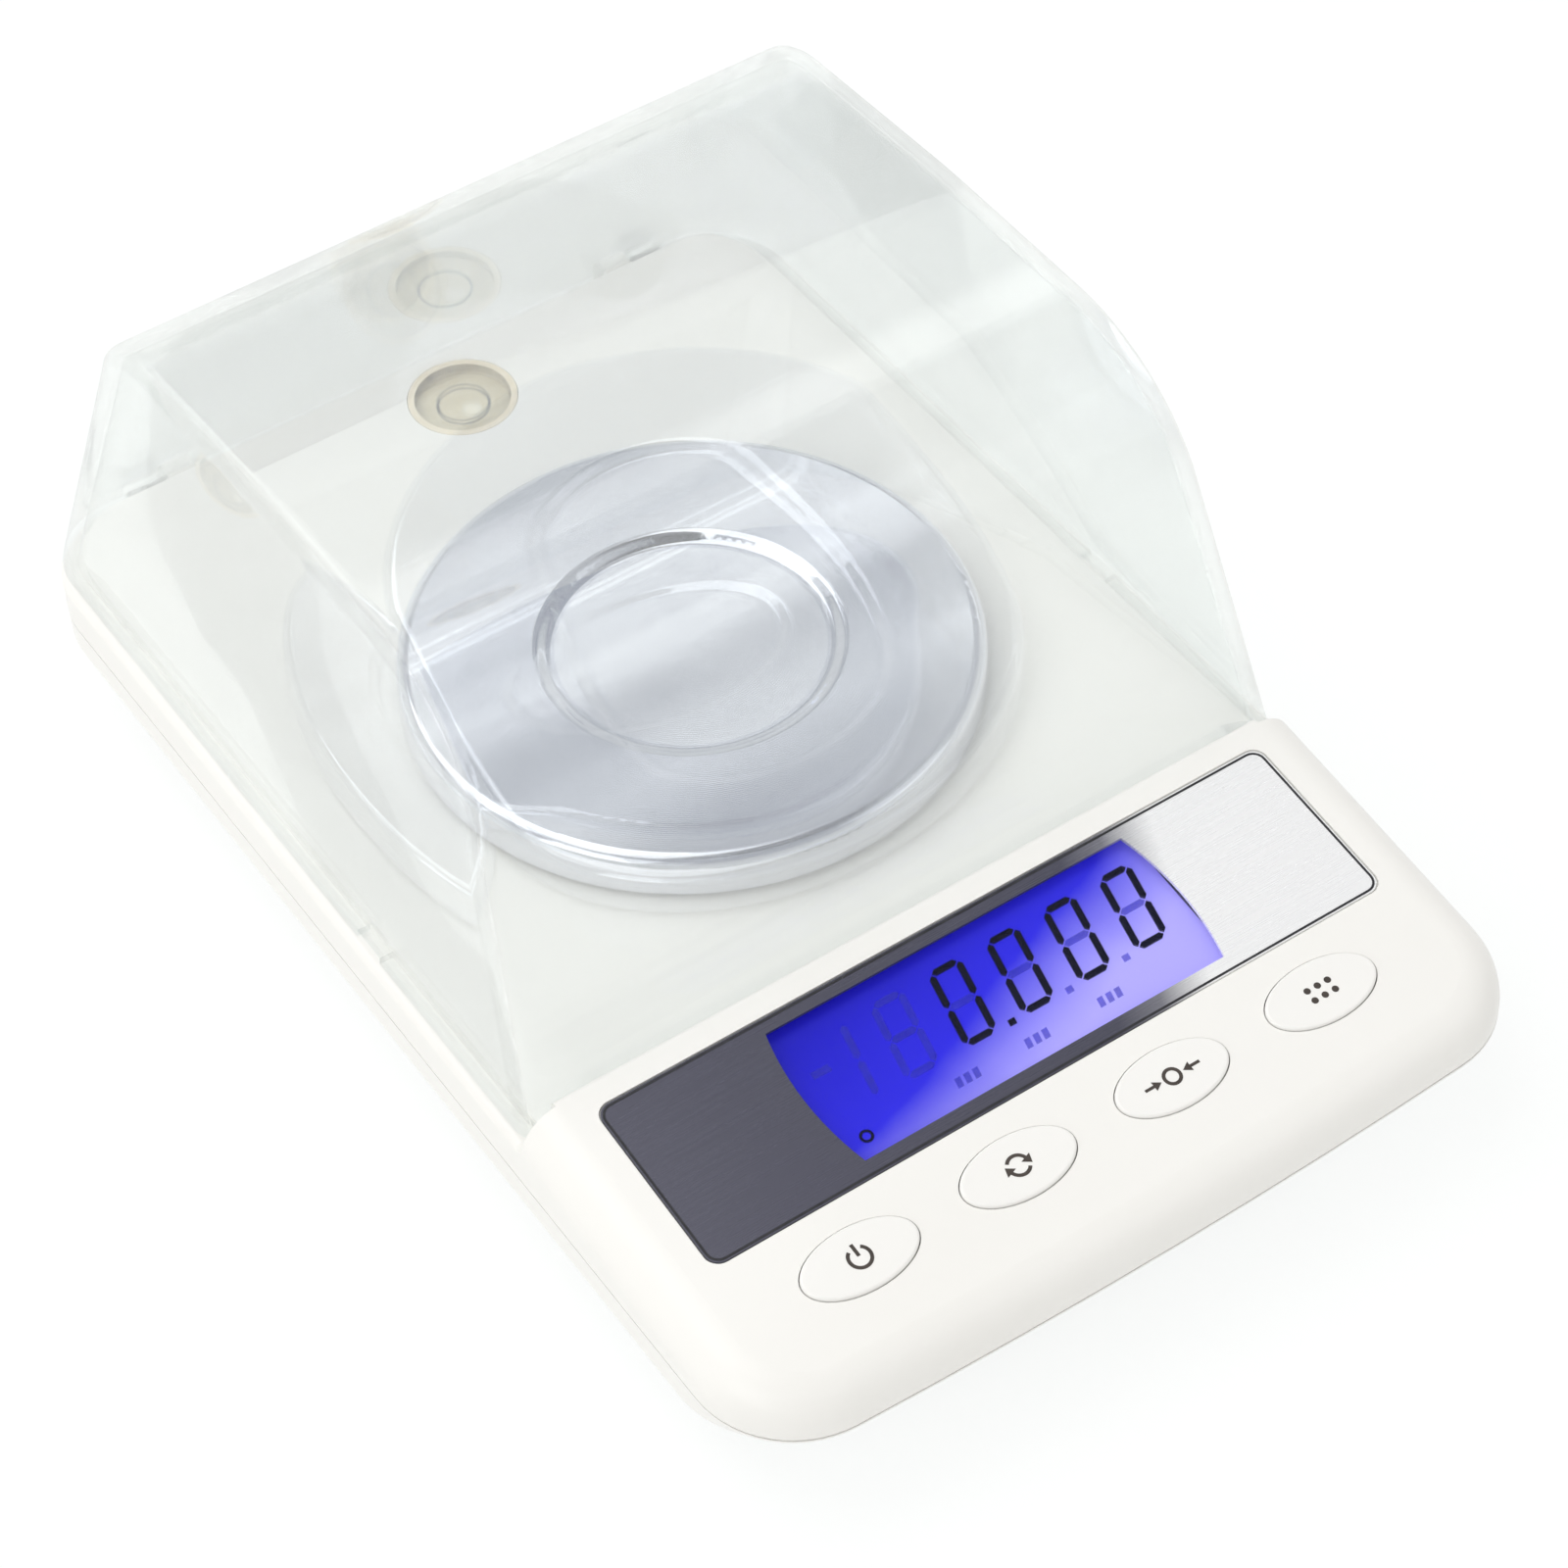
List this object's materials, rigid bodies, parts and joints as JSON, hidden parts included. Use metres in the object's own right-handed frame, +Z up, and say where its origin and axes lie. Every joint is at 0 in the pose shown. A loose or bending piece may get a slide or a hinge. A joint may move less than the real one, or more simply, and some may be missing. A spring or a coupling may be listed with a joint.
{
  "type": "precision scale",
  "caption": "Bench-top precision scale with a clear flip-up hood over a round steel pan, a backlit display and oval buttons on a sloped console",
  "frame": {"origin": "on the table under the middle of the body", "axes": "+Z up, front faces -Y, +X to the right seen from the front"},
  "size_m": [0.126, 0.196, 0.0843],
  "materials": {
    "ivory_plastic": "smooth moulded",
    "clear_acrylic": "polished clear",
    "polished_steel": "mirror polished",
    "screw_steel": "zinc plated",
    "cell_aluminium": "milled",
    "insert_brass": "turned",
    "black_rubber": "matt",
    "plate_metal": "satin printed",
    "lcd_blue": "lit panel",
    "light_guide": "translucent",
    "dark_plastic": "moulded",
    "board_green": "solder mask",
    "level_tan": "moulded",
    "level_liquid": "clear liquid",
    "foil_amber": "foil",
    "cell_jacket": "sleeved"
  },
  "bodies": {
    "base": {"upper_housing": "ivory_plastic", "lower_housing": "ivory_plastic", "housing_screws": "screw_steel", "front_feet": "black_rubber", "foot_inserts": "insert_brass", "hinge_pins": "screw_steel", "load_cell": "cell_aluminium", "strain_gauges": "foil_amber", "load_cell_foot": "cell_aluminium", "load_cell_screws": "screw_steel", "overload_stop": "screw_steel", "level_cup": "level_tan", "level_fluid": "level_liquid", "level_lens": "clear_acrylic", "display_plate": "plate_metal", "display_window": "clear_acrylic", "lcd_glass": "lcd_blue", "backlight": "light_guide", "lcd_frame": "dark_plastic", "main_board": "board_green", "board_screws": "screw_steel", "tact_switches": "dark_plastic", "batteries": "cell_jacket", "battery_contacts": "screw_steel", "adapter_inlet": "dark_plastic"},
    "hood": {"hood": "clear_acrylic"},
    "pan": {"weighing_pan": "polished_steel"},
    "carrier": {"pan_carrier": "ivory_plastic", "carrier_screws": "screw_steel"},
    "right_foot": {"foot_wheel_right": "dark_plastic", "foot_pad_right": "black_rubber"},
    "left_foot": {"foot_wheel_left": "dark_plastic", "foot_pad_left": "black_rubber"},
    "door": {"battery_door": "ivory_plastic"},
    "power_key": {"power_button": "ivory_plastic"},
    "mode_key": {"mode_button": "ivory_plastic"},
    "tare_key": {"tare_button": "ivory_plastic"},
    "count_key": {"count_button": "ivory_plastic"}
  },
  "joints": [
    {"name": "hood_hinge", "type": "hinge", "parent": "base", "child": "hood", "pos_m": [0, 0.0946, 0.0256], "axis": [-1, 0, 0], "range_deg": [0, 95]},
    {"name": "carrier_load", "type": "slide", "parent": "base", "child": "carrier", "axis": [0, 0, -1], "range_m": [0, 0.0002], "stiffness_N_per_m": 8000, "springref_m": -0.0003},
    {"name": "pan_lift", "type": "slide", "parent": "carrier", "child": "pan", "axis": [0, 0, 1], "range_m": [0, 0.02]},
    {"name": "battery_door_slide", "type": "slide", "parent": "base", "child": "door", "axis": [0, -1, 0], "range_m": [0, 0.044]},
    {"name": "right_foot_screw", "type": "slide", "parent": "base", "child": "right_foot", "axis": [0, 0, -1], "range_m": [-0.002, 0.002]},
    {"name": "left_foot_screw", "type": "slide", "parent": "base", "child": "left_foot", "axis": [0, 0, -1], "range_m": [-0.002, 0.002]},
    {"name": "power_button_press", "type": "slide", "parent": "base", "child": "power_key", "axis": [0, 0.1219, -0.9925], "range_m": [0, 0.0006], "stiffness_N_per_m": 1500, "springref_m": -0.0003},
    {"name": "mode_button_press", "type": "slide", "parent": "base", "child": "mode_key", "axis": [0, 0.1219, -0.9925], "range_m": [0, 0.0006], "stiffness_N_per_m": 1500, "springref_m": -0.0003},
    {"name": "tare_button_press", "type": "slide", "parent": "base", "child": "tare_key", "axis": [0, 0.1219, -0.9925], "range_m": [0, 0.0006], "stiffness_N_per_m": 1500, "springref_m": -0.0003},
    {"name": "count_button_press", "type": "slide", "parent": "base", "child": "count_key", "axis": [0, 0.1219, -0.9925], "range_m": [0, 0.0006], "stiffness_N_per_m": 1500, "springref_m": -0.0003}
  ]
}
